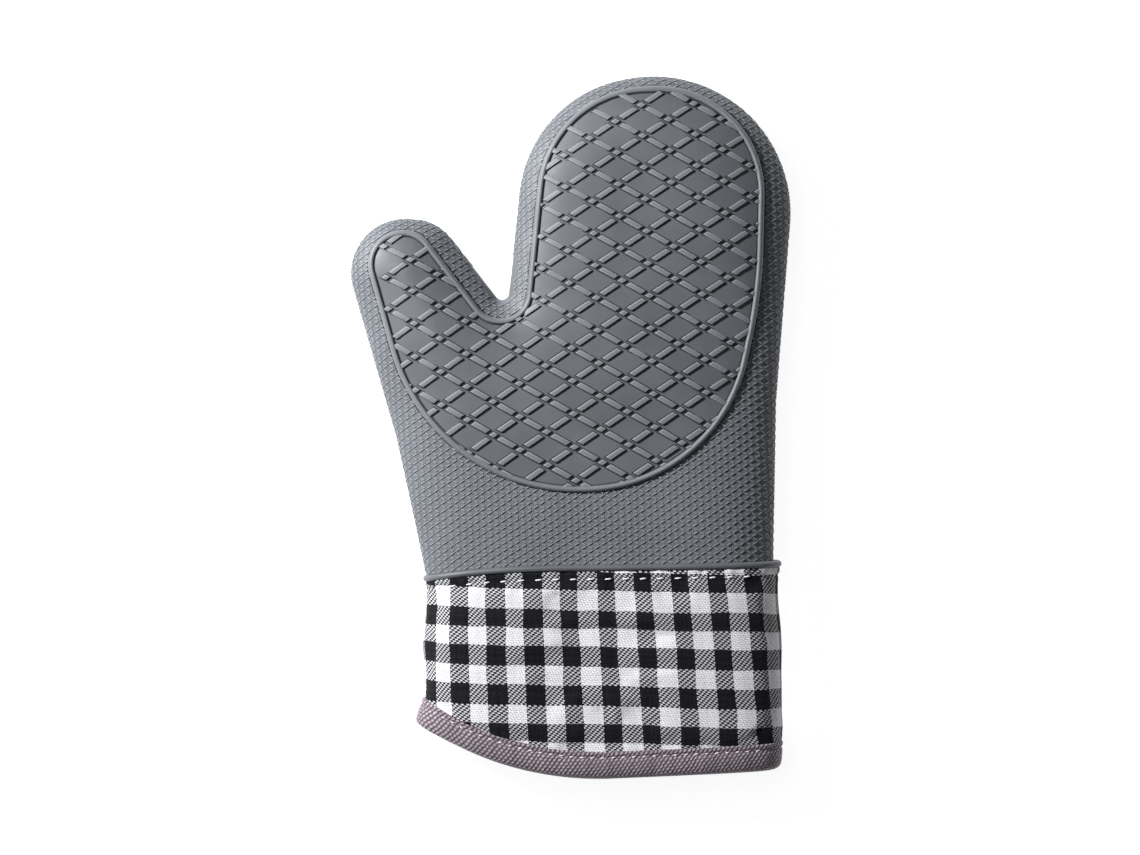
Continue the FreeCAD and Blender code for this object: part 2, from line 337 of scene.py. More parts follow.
# ---- the moving stretches
def in_three(whole, name, sharp=None):
    """Cuts a piece where the bends start, puts the palm stretch on the palm body and bakes the fingers and
    thumb stretches in place.
    """
    mesh = whole.data
    work = bmesh.new()
    work.from_mesh(mesh)
    cut(work, (0, BEND_START_Y * MM, 0), (0, 1, 0))
    cut(work, (*THUMB_BEND_START * MM, 0), (*THUMB_ALONG, 0))
    body_of_face = []
    for face in work.faces:
        middle = np.array(face.calc_center_median())[:2] / MM
        beyond = (middle - THUMB_BEND_START) @ THUMB_ALONG > 0
        thumb_side = (middle - CROTCH) @ THUMB_ACROSS < 0
        if beyond and thumb_side:
            body_of_face.append("thumb")
        elif middle[1] > BEND_START_Y and middle[0] > CROTCH[0]:
            body_of_face.append("fingers")
        else:
            body_of_face.append("palm")
    stretches = {}
    for body in ("palm", "fingers", "thumb"):
        part = work.copy()
        part.faces.ensure_lookup_table()
        drop = [part.faces[i] for i, b in enumerate(body_of_face) if b != body]
        bmesh.ops.delete(part, geom=drop, context="FACES")
        made = bpy.data.meshes.new(name + "_" + body)
        part.to_mesh(made)
        part.free()
        if sharp:
            made.set_sharp_from_angle(angle=math.radians(sharp))
        made.materials.append(mesh.materials[0])
        stretches[body] = linked(made.name, made)
    work.free()
    bpy.data.objects.remove(whole)
    follow_bodies(stretches)
    return stretches


def follow_bodies(stretches):
    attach(stretches["palm"], "palm")
    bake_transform(stretches["fingers"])
    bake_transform(stretches["thumb"])


def stand_for(stretches, node):
    for body, piece in stretches.items():
        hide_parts(node + "_" + body)


# ================================================================ materials
class Nodes:
    """Short forms for building a shader."""

    def __init__(self, name):
        self.material = bpy.data.materials.new(name)
        self.material.use_nodes = True
        self.tree = self.material.node_tree
        self.tree.nodes.clear()
        self.shader = self.tree.nodes.new("ShaderNodeBsdfPrincipled")
        output = self.tree.nodes.new("ShaderNodeOutputMaterial")
        self.tree.links.new(self.shader.outputs[0], output.inputs[0])

    def put(self, socket, value):
        if hasattr(value, "is_linked"):
            self.tree.links.new(value, socket)
        else:
            socket.default_value = value

    def node(self, kind, outputs=0, inputs=None, **settings):
        made = self.tree.nodes.new("ShaderNode" + kind)
        for key, value in settings.items():
            setattr(made, key, value)
        for key, value in (inputs or {}).items():
            self.put(made.inputs[key], value)
        return made.outputs[outputs]

    def math(self, operation, a, b=0.0, c=0.0):
        return self.node("Math", inputs={0: a, 1: b, 2: c}, operation=operation)

    def rest(self):
        """Coordinates on the unbent, unrolled surface, in millimetres."""
        place = self.node("Attribute", "Vector", attribute_name="rest")
        parts = self.tree.nodes.new("ShaderNodeSeparateXYZ")
        self.tree.links.new(place, parts.inputs[0])
        return place, parts.outputs[0], parts.outputs[1], parts.outputs[2]

    def noise(self, place, scale, detail=2.0, rough=0.5):
        inputs = {"Vector": place, "Scale": scale, "Detail": detail, "Roughness": rough}
        return self.node("TexNoise", "Fac", inputs)

    def wobble(self, place, scale, detail, size):
        return self.math("MULTIPLY", self.math("SUBTRACT", self.noise(place, scale, detail), 0.5), size)

    def wave(self, value, period):
        return self.math("SINE", self.math("MULTIPLY", value, 2 * math.pi / period))

    def arch(self, value):
        """Height across each thread: 0 at its edges, 1 in its middle."""
        return self.math("SINE", self.math("MULTIPLY", self.math("FRACT", value), math.pi))

    def ramp(self, value, low, high, to_low=0.0, to_high=1.0, smooth=True):
        return self.node("MapRange", 0, {0: value, 1: low, 2: high, 3: to_low, 4: to_high},
                         interpolation_type="SMOOTHSTEP" if smooth else "LINEAR")

    def mix(self, share, a, b):
        return self.node("Mix", 2, {0: share, 6: a, 7: b}, data_type="RGBA")

    def bump(self, height, distance, strength):
        return self.node("Bump", 0, {"Height": height, "Distance": distance, "Strength": strength})

    def set(self, **values):
        names = {"color": "Base Color", "rough": "Roughness", "normal": "Normal", "sheen": "Sheen Weight",
                 "sheen_rough": "Sheen Roughness", "specular": "Specular IOR Level"}
        for key, value in values.items():
            self.put(self.shader.inputs[names[key]], value)
        return self.material


SILICONE_TINT = np.array([0.89, 0.955, 1.065])


def silicone(name, tone, rough, painted_highlight):
    """Satin grey rubber; rest's third coordinate paints shade at the feet of the relief (1) and paints
    highlights on its raised tops and bevels (-1).
    """
    n = Nodes(name)
    place, _, _, painted_shading = n.rest()
    cloud = n.noise(place, 0.035, 3)
    speck = n.noise(place, 2.2, 2)
    grit = n.ramp(painted_shading, -1.0, 0.0, 1.0, 0.35)
    grain = n.math("MULTIPLY", n.noise(place, 3.2, 3, 0.7), grit)

    def shade(share):
        return (*(tone * share * SILICONE_TINT), 1)

    color = n.mix(n.ramp(cloud, 0.3, 0.7), shade(0.88), shade(1.12))
    color = n.mix(n.ramp(speck, 0.45, 0.8, 0, 0.3), color, shade(1.5))
    # painted highlight on raised tops and bevels, then painted shade at the feet of the relief
    color = n.mix(n.ramp(painted_shading, -1.0, 0.0, 0.8, 0.0), color, shade(painted_highlight))
    color = n.mix(n.ramp(painted_shading, 0.0, 1.0, 0.0, 0.9), color, shade(0.1))
    rough = n.ramp(n.noise(place, 0.09, 4), 0.3, 0.7, rough, rough + 0.1)
    return n.set(color=color, rough=rough, specular=0.42, sheen=0.06, sheen_rough=0.45,
                 normal=n.bump(grain, 0.12 * MM, 0.7))


GINGHAM_PERIOD = (15.156, 15.8)   # one dark and one light stripe, at the hem
GINGHAM_DARK = (-52.5, -78.5)    # middle of one dark square
GINGHAM_FAN = (-0.0137, 0.000565)  # how the columns spread away from the hem
GINGHAM_SLOPE = math.radians(3.75)
WARP, WEFT = 0.80, 0.76          # spacing of the threads across and up the cuff
FLOAT_LONG, FLOAT_WIDE = 1.12, 0.74   # a thread's float in the weave
FLOAT_LEAN, FLOAT_LEANING = 0.4, 0.98   # on dark weft the floats climb to the right


def gingham():
    """Black and white checks; the stripes are dyed threads, so mixed squares are half-tone.

    The threads float in short dashes, which lie flat on a dark warp and lean on a dark weft.
    """
    n = Nodes("gingham_cotton")
    place, x, y, ply = n.rest()
    wobble = n.wobble(place, 0.08, 1, 1.2)
    x = n.math("ADD", x, wobble)
    drop = n.math("SUBTRACT", HEM_Y, y)
    spread = n.math("MULTIPLY_ADD", drop, GINGHAM_FAN[1], 1.0)
    across = n.math("DIVIDE", n.math("MULTIPLY_ADD", drop, -GINGHAM_FAN[0], x), spread)
    up = n.math("MULTIPLY_ADD", x, math.sin(GINGHAM_SLOPE), n.math("MULTIPLY", y, math.cos(GINGHAM_SLOPE)))
    up = n.math("ADD", up, wobble)
    warp, weft = n.math("DIVIDE", across, WARP), n.math("DIVIDE", up, WEFT)
    i, j = n.math("FLOOR", warp), n.math("FLOOR", weft)

    def dark(index, thread, period, middle):
        """1 on the dark threads of one direction."""
        start = n.math("SUBTRACT", n.math("MULTIPLY", index, thread), middle - period / 4)
        return n.math("LESS_THAN", n.math("FLOORED_MODULO", start, period), period / 2)

    warp_dark = dark(i, WARP, GINGHAM_PERIOD[0], GINGHAM_DARK[0])
    weft_dark = dark(j, WEFT, GINGHAM_PERIOD[1], GINGHAM_DARK[1])
    leaning = n.math("MULTIPLY_ADD", up, FLOAT_LEAN, across)
    length = n.node("Mix", 0, {0: weft_dark, 2: FLOAT_LONG, 3: FLOAT_LEANING})
    along = n.math("DIVIDE", leaning, length)
    beside = n.math("DIVIDE", up, FLOAT_WIDE)
    warp_on_top = n.math("ADD", n.math("FLOOR", along), n.math("FLOOR", beside))
    warp_on_top = n.math("FLOORED_MODULO", warp_on_top, 2.0)
    tone = n.node("Mix", 0, {0: warp_on_top, 2: weft_dark, 3: warp_dark})
    own_thread = n.node("Mix", 0, {0: warp_on_top, 2: j, 3: n.math("ADD", i, 0.37)})
    uneven = n.node("TexWhiteNoise", 0, {"W": own_thread}, noise_dimensions="1D")
    white = n.mix(uneven, (0.64, 0.64, 0.675, 1), (0.79, 0.79, 0.82, 1))
    black = n.mix(uneven, (0.0035, 0.0035, 0.005, 1), (0.012, 0.012, 0.0155, 1))
    mixed = n.math("ABSOLUTE", n.math("SUBTRACT", warp_dark, weft_dark))
    white = n.mix(mixed, white, (0.50, 0.50, 0.53, 1))
    color = n.mix(tone, white, black)
    height = n.node("Mix", 0, {0: warp_on_top, 2: n.arch(beside), 3: n.arch(along)})
    # painted shade where the threads dip between one another, multiplied into the colour
    painted_shading = n.ramp(height, 0.0, 0.75, 0.5, 1.0)
    shade = n.node("CombineColor", 0, {0: painted_shading, 1: painted_shading, 2: painted_shading})
    color = n.node("Mix", 2, {0: 1.0, 6: color, 7: shade}, data_type="RGBA", blend_type="MULTIPLY")
    return n.set(color=color, rough=0.85, specular=0.10, sheen=0.02, sheen_rough=0.5,
                 normal=n.bump(height, 0.16 * MM, 0.8))


RIB_LEAN, RIB_WIDE, RIB_LONG = 0.75, 1.75, 1.9   # the tape's ribs and their knuckles


def tape_weave():
    """Coarse weave cut on the bias: ribs of fat threads that climb to the right."""
    n = Nodes("binding_cotton")
    place, x, y, _ = n.rest()
    column = n.math("DIVIDE", n.math("MULTIPLY_ADD", y, -RIB_LEAN, x), RIB_WIDE)
    column = n.math("ADD", column, n.wobble(place, 0.2, 2, 0.8))
    row = n.math("DIVIDE", n.math("MULTIPLY_ADD", x, 0.4, y), RIB_LONG)
    row = n.math("MULTIPLY_ADD", n.math("FLOOR", column), 0.5, row)
    knuckle = n.math("MULTIPLY", n.arch(column), n.math("MULTIPLY_ADD", n.arch(row), 0.6, 0.4))
    fray = n.noise(place, 3.0, 3, 0.6)
    # painted highlight on the knuckles and painted shade in the gaps between them, varied by the fraying
    # noise
    share = n.math("MULTIPLY", n.ramp(knuckle, 0.15, 0.95, 0.06, 1.0), n.ramp(fray, 0.25, 0.7, 0.55, 1.0))
    color = n.mix(share, (0.020, 0.013, 0.018, 1), (0.42, 0.345, 0.40, 1))
    cloud = n.ramp(n.noise(place, 0.06, 3), 0.35, 0.7, 0, 0.35)
    color = n.mix(cloud, color, (0.10, 0.08, 0.095, 1))
    return n.set(color=color, rough=0.75, specular=0.35, sheen=0.2, sheen_rough=0.4,
                 normal=n.bump(knuckle, 0.25 * MM, 0.9))


def lining_weave():
    n = Nodes("lining_cotton")
    place, x, y, _ = n.rest()
    rib = n.wave(n.math("ADD", x, y), 0.8)
    cross = n.wave(n.math("SUBTRACT", x, y), 0.7)
    height = n.math("MULTIPLY_ADD", rib, 0.7, n.math("MULTIPLY", cross, 0.3))
    share = n.math("MULTIPLY", n.ramp(height, -0.9, 0.9), n.ramp(n.noise(place, 0.2, 4), 0.2, 0.7, 0.6, 1.0))
    return n.set(color=n.mix(share, (0.17, 0.17, 0.19, 1), (0.36, 0.36, 0.38, 1)), rough=0.85, sheen=0.15,
                 sheen_rough=0.5, normal=n.bump(height, 0.12 * MM, 0.8))


def thread(name, color):
    n = Nodes(name)
    place, x, *_ = n.rest()
    ply = n.wave(x, 0.35)
    shade = n.ramp(ply, -1, 1, 0.0, 0.5)
    return n.set(color=n.mix(shade, color, tuple(c * 0.7 for c in color[:3]) + (1,)), rough=0.6, sheen=0.2,
                 sheen_rough=0.4, normal=n.bump(ply, 0.04 * MM, 0.6))


def fleece():
    n = Nodes("wadding")
    place, *_ = n.rest()
    fibre = n.noise(place, 1.2, 6, 0.7)
    color = n.mix(n.ramp(fibre, 0.3, 0.7), (0.62, 0.61, 0.58, 1), (0.82, 0.81, 0.78, 1))
    return n.set(color=color, rough=0.95, sheen=0.3, sheen_rough=0.6, normal=n.bump(fibre, 0.5 * MM, 0.8))


SKIN_LOOK = silicone("silicone_skin", 0.114, 0.52, 2.1)
GRIP_LOOK = silicone("silicone_grip", 0.089, 0.46, 2.5)
GINGHAM_LOOK = gingham()
TAPE_LOOK = tape_weave()
LINING_LOOK = lining_weave()
HEM_THREAD_LOOK = thread("white_thread", (0.78, 0.78, 0.82, 1))
TAPE_THREAD_LOOK = thread("mauve_thread", (0.62, 0.54, 0.61, 1))
WADDING_LOOK = fleece()


# ================================================================ silicone skin
def rim_columns(step):
    """Points along the rim's start, from the hem's left end round to its right end."""
    every = max(1, round(step / 0.5))
    pick = np.arange(0, len(RIM_CURVE.points), every)
    return RIM_CURVE.points[pick], RIM_CURVE.normals[pick]


def add_face(shape, grid, side, depth, rows, flip=True):
    """One face of the mitten at a depth below its surface, with its half of the rolled rim."""
    base, normal, flat, triangles = grid
    length = rim_table(depth, side)[0][-1]
    shape.add(on_skin(flat, side, depth), flat, [t if flip else t[::-1] for t in triangles])
    points, rest = [], []
    for share in np.linspace(0, 1, rows):
        along = np.full(len(base), length * share)
        points.append(on_rim(base, normal, along, side, depth, 0.0))
        rest.append(base + normal * along[:, None])
    shape.add(np.concatenate(points), np.concatenate(rest), grid_faces(rows, len(base), flip=flip))


def mitten_grid(step, spacing):
    """The rim's start, its normals, and the flat points and triangles inside it."""
    base, normal = rim_columns(step)
    return (base, normal, *filled(base, spacing, step, RIM_CURVE))


def lattice(scale, low, high):
    """Crossings of the diamond pattern in a box, and the two sides of its cell."""
    side_a = CELL / 2 * scale
    side_b = side_a * (1, -1)
    reach = int(max(high - low) / (CELL[1] * scale)) + 2
    i, j = np.meshgrid(np.arange(-reach, reach), np.arange(-reach, reach))
    nodes = CROSSING + i.ravel()[:, None] * side_a + j.ravel()[:, None] * side_b
    inside = ((nodes > low) & (nodes < high)).all(1)
    return nodes[inside], side_a, side_b


def lozenge(centre, half_a, half_b):
    """Corners (n, 4, 2) of parallelograms about the centres."""
    signs = [(1, 1), (1, -1), (-1, -1), (-1, 1)]
    return np.stack([centre + a * half_a + b * half_b for a, b in signs], 1)


def drifted(points):
    """The moulded pattern is not quite even."""
    away = ((points - DRIFT_MIDDLE) ** 2).sum(-1, keepdims=True)
    moved = points + away * (0, DRIFT_GROWTH)
    for middle, reach, move in DRIFTS:
        near = np.exp(-((points - middle) ** 2).sum(-1, keepdims=True) / reach ** 2)
        moved = moved + near * move
    return moved


def bars_and_crossings(low, high):
    nodes, side_a, side_b = lattice(1.0, low, high)
    wide, long = BAR_SHARE / 2, BAR_SPAN / 2
    return drifted(np.concatenate([
        lozenge(nodes, wide * side_a, wide * side_b),
        lozenge(nodes + side_a / 2, long * side_a, wide * side_b),
        lozenge(nodes + side_b / 2, wide * side_a, long * side_b),
    ]))


SEAM_GAP = 0.7                 # the fine pattern ends this far from the middle of the side
CROTCH_REACH, CROTCH_OUT = 16.0, 9.0   # and leaves out the inside of the crotch


def fine_pattern(shape, side):
    """The same pattern much smaller all round the grip panel, rolled over the rim."""
    edge = rim_table(0.0, side)[0][-1]
    low = RIM_CURVE.points.min(0) - edge
    high = RIM_CURVE.points.max(0) + edge
    low[1] = HEM_Y + 0.8
    nodes, side_a, side_b = lattice(FINE, low, high)
    for shift_a, shift_b, half_a, half_b in FINE_BARS:
        middle = nodes + shift_a * side_a + shift_b * side_b
        out, _ = RIM_CURVE.distance(middle)
        middle, out = middle[out < edge - SEAM_GAP], out[out < edge - SEAM_GAP]
        free, _ = PANEL_CURVE.distance(on_skin(middle, side)[:, :2])
        in_crotch = (np.linalg.norm(middle - CROTCH, axis=1) < CROTCH_REACH) & (out > CROTCH_OUT)
        kept = (free > BEAD / 2 - 0.1) & ~in_crotch
        middle, out = middle[kept], out[kept]
        rise = np.repeat(FINE_RISE * (1 - 0.5 * np.clip(out / edge, 0, 1)), 4)
        rings = []
        for bevel, lift in ((0, rise * 0 - 0.05), (FINE_BEVEL, rise)):
            wide, tall = half_a - bevel, half_b - bevel
            corners = lozenge(middle, side_a * wide, side_b * tall).reshape(-1, 2)
            rings.append((corners, on_skin(corners, side, 0.0, lift)))
        first = np.arange(len(middle))[:, None] * 4
        ring = np.arange(4)
        beside = (ring + 1) % 4
        raised = 4 * len(middle) + first
        walls = np.stack([first + ring, first + beside, raised + beside, raised + ring], -1).reshape(-1, 4)
        quads = np.concatenate([walls, raised + ring])
        # painted shade at each tile's foot (0.8) and painted highlight on its top (-1.0), blending up the
        # walls
        shade = np.repeat([0.8, -1.0], 4 * len(middle))
        rest = np.column_stack([np.concatenate([corners for corners, _ in rings]), shade])
        points = np.concatenate([points for _, points in rings])
        shape.add(points, rest, quads if side < 0 else quads[:, ::-1])


def trimmed(piece):
    """Welds the points that coincide and removes everything below the hem."""
    work = bmesh.new()
    work.from_mesh(piece.data)
    bmesh.ops.remove_doubles(work, verts=work.verts[:], dist=WELD * MM)
    cut(work, (0, HEM_Y * MM, 0), (0, 1, 0), clear_inner=True)
    work.to_mesh(piece.data)
    work.free()
    return piece


def silicone_skin():
    shape = Shape()
    grid = mitten_grid(SKIN_STEP, SKIN_STEP * 1.4)
    for side in (1, -1):
        add_face(shape, grid, side, 0.0, rows=15, flip=side > 0)
    skin = trimmed(shape.piece("skin", SKIN_LOOK))
    pattern = Shape()
    for side in (1, -1):
        fine_pattern(pattern, side)
    relief = pattern.piece("relief", SKIN_LOOK)
    joined = join([skin, relief], "silicone_skin")
    follow_hem(joined)
    stretches = in_three(joined, "silicone_skin", sharp=35)
    stand_for(stretches, "silicone_shell")


def follow_hem(piece):
    """Moves the skin's straight end onto the slightly arched hem."""
    count = len(piece.data.vertices)
    co = np.zeros(count * 3)
    piece.data.vertices.foreach_get("co", co)
    co = co.reshape(-1, 3)
    share = np.clip(1 - (co[:, 1] / MM - HEM_Y) / ARCH_REACH, 0, 1)
    share = share ** 2 * (3 - 2 * share)
    co[:, 1] += (hem_y(co[:, 0] / MM) - HEM_Y) * MM * share
    piece.data.vertices.foreach_set("co", co.ravel())
    piece.data.update()


def join(pieces, name):
    bpy.ops.object.select_all(action="DESELECT")
    for piece in pieces:
        piece.select_set(True)
    bpy.context.view_layer.objects.active = pieces[0]
    bpy.ops.object.join()
    pieces[0].name = name
    return pieces[0]


# ================================================================ grip panel
SHEET_LIFT = 0.30              # heights above the silicone's face
SMALLEST_BAR = 1.2             # square millimetres of a bar that the bead cuts
PARALLEL = 0.05                # sides that turn less than this have no corner to move
BEAD_FOOT = 0.10
BEAD_RISE = 1.6
RESTING = 0.02                 # the back panel's bars are pressed flat by the table
BAR_RINGS = [                  # way in from the edge, height, and painted shade (positive) or painted highlight (negative)
    # a flat ring round the bar's foot is painted dark as a painted shadow; the bevel and top carry a painted
    # highlight
    (-0.38, SHEET_LIFT + 0.02, 0.9),
    (0.0, SHEET_LIFT + 0.03, 1.0),
    (0.06, 0.90, 0.0),
    (0.20, 1.12, -1.0),
    (0.46, 1.26, -1.0),
    (0.62, 1.29, -0.5),
]


def area(poly):
    """Area of a flat shape, negative when its corners run clockwise."""
    x, y = poly[:, 0], poly[:, 1]
    return (x * np.roll(y, -1) - y * np.roll(x, -1)).sum() / 2


def clipped(corners):
    """A pattern shape cut along the panel's bead, or None when too little is left."""
    out, _ = PANEL_CURVE.distance(corners)
    if (out > -0.2).all():
        return None
    if (out < -BEAD / 2).all():
        return corners
    poly = list(corners)
    for probe in [*corners, corners.mean(0)]:
        out, normal = PANEL_CURVE.distance(probe[None])
        foot = probe - normal[0] * out[0]
        kept = []
        for k in range(len(poly)):
            p, q = poly[k], poly[(k + 1) % len(poly)]
            dp, dq = (p - foot) @ normal[0], (q - foot) @ normal[0]
            if dp <= 0:
                kept.append(p)
            if dp * dq < 0:
                kept.append(p + (q - p) * dp / (dp - dq))
        poly = kept
        if len(poly) < 3:
            return None
    return np.array(poly) if abs(area(np.array(poly))) > SMALLEST_BAR else None


def shrunk(poly, by):
    """A convex shape with its sides moved inwards."""
    middle = poly.mean(0)
    count = len(poly)
    sides = []
    for k in range(count):
        p, q = poly[k], poly[(k + 1) % count]
        along = (q - p) / max(np.linalg.norm(q - p), 1e-9)
        inward = np.array([-along[1], along[0]])
        if (middle - p) @ inward < 0:
            inward = -inward
        sides.append((p + inward * by, along))
    out = []
    for k in range(count):
        (p, u), (q, v) = sides[k - 1], sides[k]
        turn = cross(u, v)
        out.append(q if abs(turn) < PARALLEL else p + u * cross(q - p, v) / turn)
    out = np.array(out)
    if by < 0:
        return out
    limit = poly + (middle - poly) * 0.6
    far = np.linalg.norm(out - poly, axis=1) > np.linalg.norm(limit - poly, axis=1)
    return np.where(far[:, None], limit, out)


def bar(shape, poly, side):
    rings = [(shrunk(poly, way) if way else poly, lift) for way, lift, _ in BAR_RINGS]
    points = np.concatenate([under(p, side, lift) for p, lift in rings])
    count = len(poly)
    flip = (area(poly) < 0) == (side > 0)
    faces = grid_faces(len(rings), count, closed=True, flip=flip)
    top = [(len(rings) - 1) * count + c for c in range(count)]
    faces.append(top[::-1] if flip else top)
    # painted shade and painted highlight of each ring, from BAR_RINGS
    shade = np.repeat([tone for _, _, tone in BAR_RINGS], count)
    shape.add(points, np.column_stack([np.concatenate([p for p, _ in rings]), shade]), faces)


def swept(shape, path, outward, side, profile):
    """A bead along a closed plan curve; the profile is (way out, height, painted shade (positive) or painted
    highlight (negative)) from inside to outside.
    """
    points = [under(path + outward * out, side, lift) for out, lift, _ in profile]
    rest = [np.column_stack([path + outward * out, np.full(len(path), tone)]) for out, _, tone in profile]
    shape.add(np.concatenate(points), np.concatenate(rest),
              grid_faces(len(profile), len(path), closed=True, flip=side < 0))


def bead_profile():
    radius = BEAD / 2
    angles = np.linspace(0.02 * math.pi, 0.98 * math.pi, 13)
    # the bead's arch carries a painted highlight (-0.45); flat rings at both its feet carry a painted shadow
    # (1.0)
    arch = [(-radius * math.cos(a), BEAD_FOOT + BEAD_RISE * math.sin(a), -0.45) for a in angles]
    inside = [(-radius - 0.45, SHEET_LIFT + 0.02, 1.0), (-radius - 0.02, SHEET_LIFT + 0.03, 1.0)]
    outside = [(radius + 0.02, BEAD_FOOT, 1.0), (radius + 0.5, -0.02, 1.0)]
    return inside + arch + outside


def grip_panel(side, name):
    shape = Shape()
    pick = np.arange(0, len(PANEL_CURVE.points), 3)
    path, outward = PANEL_CURVE.points[pick], PANEL_CURVE.normals[pick]
    flat, triangles = filled(path, 2.4, 1.6, PANEL_CURVE)
    shape.add(under(flat, side, SHEET_LIFT), flat, [t if side > 0 else t[::-1] for t in triangles])
    swept(shape, path, outward, side, bead_profile())
    low, high = PANEL_CURVE.points.min(0) - 5, PANEL_CURVE.points.max(0) + 5
    for corners in bars_and_crossings(low, high):
        poly = clipped(corners)
        if poly is not None:
            bar(shape, poly, side)
    for points in shape.points:
        points[:, 2] = np.maximum(points[:, 2], RESTING)
    whole = shape.piece(name, GRIP_LOOK, sharp=38)
    stretches = in_three(whole, name, sharp=38)
    stand_for(stretches, "grip_panel_" + ("front" if side > 0 else "back"))


# ================================================================ cuff
HEM_BEAD = 1.3
TAPE_WIDTH = 11.5
TAPE_FOLD = 2.6                # way from the fold's edge to where it is full
MOUTH_CENTRE = np.array([8.0, -10.0])
MOUTH_RADIUS = MOUTH_CENTRE[1] - MOUTH_Y
RIM_COLUMNS = 12
FLAT_COLUMNS = 88
HEM_STITCH_DROP = 4.6
HEM_STITCH_PITCH = 7.2
TAPE_STITCH_DROP = 2.5
TAPE_STITCH_PITCH = 4.3
THREAD_WIDTH = 0.65
HEM_LINE = [(-66, -0.9), (-52, 1.1), (-37, 1.7), (-7, 1.6), (24, 0.8), (54, -0.2), (80, -0.8)]
ARCH_REACH = 25.0              # the arch fades out over this length of the silicone
HEM_SHAPE = np.polyfit(*np.array(HEM_LINE).T, 4)


def hem_y(x):
    """The hem runs in a slight arch that drops at the left."""
    return HEM_Y + np.polyval(HEM_SHAPE, np.clip(x, -68, 82))


def mouth_y(x):
    """Where the tape folds over the cuff's edge."""
    bend = np.minimum(x - MOUTH_CENTRE[0], 0)
    return MOUTH_CENTRE[1] - np.sqrt(MOUTH_RADIUS ** 2 - bend ** 2)


EASE, EASE_REACH = 3.4, 15.0   # cloth gathered towards the left seam, and the right one
EASE_RIGHT, EASE_REACH_RIGHT = 2.2, 8.0
CUFF_LEFT_LINE = [             # the cuff's left edge: share of the way to the mouth, x
    (0.0, -66.2), (0.11, -66.5), (0.19, -67.2), (0.3, -69.2),
    (0.4, -68.8), (0.54, -68.5), (0.68, -69.5), (1.0, -71.3),
]
CLOTH_LEAN = 0.02              # the columns of squares lean a little
CUFF_BOTTOM = 0.75             # height of the cuff's back cloth
TURN_SHARE = 0.85              # of the rim's width: from here on the cloth is measured down the side


def cuff_edges(y):
    """Left and right edge of the cuff."""
    drop = (HEM_Y - y) / (HEM_Y - MOUTH_Y)
    left = sum(np.interp(drop + shift, *np.array(CUFF_LEFT_LINE).T) for shift in (-0.03, 0, 0.03)) / 3
    right = 80.9 - 7.0 * np.clip(drop - 0.6, 0, 1) + 0.35 * np.sin(drop * 15 + 2.2)
    return left, right


def cuff_loop(y, depth):
    """Points round the cuff, as (x, z) for each y and column, and the unrolled x."""
    left, right = cuff_edges(y)
    drop = np.clip((HEM_Y - y) / (HEM_Y - MOUTH_Y), 0, 1)
    edge = FRONT_EDGE + 0.2 - 1.2 * drop
    crown = CROWN * (1 - 0.35 * drop)
    phi = np.linspace(0, math.pi / 2, 200)
    plan = np.sin(phi) ** (2 / RIM_POWER)
    tall = np.cos(phi) ** (2 / RIM_POWER)
    loops, rests = [], []
    for l, r, top, rise in zip(left, right, edge, crown):
        middle = (top + CUFF_BOTTOM) / 2
        half = (top - CUFF_BOTTOM) / 2 - depth
        out, up = (RIM - depth) * plan, half * tall
        length = running(np.hypot(np.diff(out), np.diff(up)))
        pick = np.linspace(0, length[-1], RIM_COLUMNS + 1)
        bend = np.searchsorted(plan, TURN_SHARE)
        cloth = np.where(plan < TURN_SHARE, out, out[bend] + length - length[bend])
        out, up, cloth = (np.interp(pick, length, value) for value in (out, up, cloth))
        flat = np.linspace(l + RIM, r - RIM, FLAT_COLUMNS + 1)
        inside = np.minimum(flat - l - RIM, r - RIM - flat)
        high = half + rise * (1 - np.exp(-inside / CROWN_REACH))
        x = np.concatenate([l + RIM - out[::-1], flat[1:-1], r - RIM + out])
        up_front = up * (1 - rise / CROWN_REACH * out / half)
        over = np.concatenate([up_front[::-1], high[1:-1], up_front])
        below = np.concatenate([-up[::-1], np.full(FLAT_COLUMNS - 1, -half), -up])
        rest = np.concatenate([l + RIM - cloth[::-1], flat[1:-1], r - RIM + cloth])
        rest -= EASE * np.clip((EASE_REACH - (x - l)) / EASE_REACH, 0, 1) ** 2
        rest += EASE_RIGHT * np.clip((EASE_REACH_RIGHT - (r - x)) / EASE_REACH_RIGHT, 0, 1) ** 2
        z = middle + np.concatenate([over, below[::-1][1:-1]])
        loops.append(np.column_stack([np.concatenate([x, x[::-1][1:-1]]), z]))
        rests.append(np.concatenate([rest, rest[::-1][1:-1]]))
    return np.array(loops), np.array(rests)


HALF_LOOP = FLAT_COLUMNS + 2 * RIM_COLUMNS + 1
LOOP = 2 * HALF_LOOP - 2
PLIES = {"front": list(range(HALF_LOOP)), "back": list(range(HALF_LOOP - 1, LOOP)) + [0]}


def cuff_surface(y, depth=0.0, lift=0.0):
    """Points of the cuff at y (rows, LOOP), with the outward normal in section."""
    rows = len(y)
    ys = np.linspace(y.min() - 0.5, y.max() + 0.5, 60)
    loops, rests = cuff_loop(ys, depth)
    points = np.empty((rows, LOOP, 3))
    rest = np.empty((rows, LOOP, 2))
    for c in range(LOOP):
        points[:, c, 0] = np.interp(y[:, c], ys, loops[:, c, 0])
        points[:, c, 1] = y[:, c]
        points[:, c, 2] = np.interp(y[:, c], ys, loops[:, c, 1])
        rest[:, c, 0] = np.interp(y[:, c], ys, rests[:, c]) + CLOTH_LEAN * (y[:, c] - HEM_Y)
        rest[:, c, 1] = y[:, c]
    around = np.roll(points, -1, axis=1) - np.roll(points, 1, axis=1)
    normal = np.stack([-around[..., 2], np.zeros_like(around[..., 0]), around[..., 0]], -1)
    normal /= np.linalg.norm(normal, axis=-1, keepdims=True)
    return points + normal * lift, rest, normal


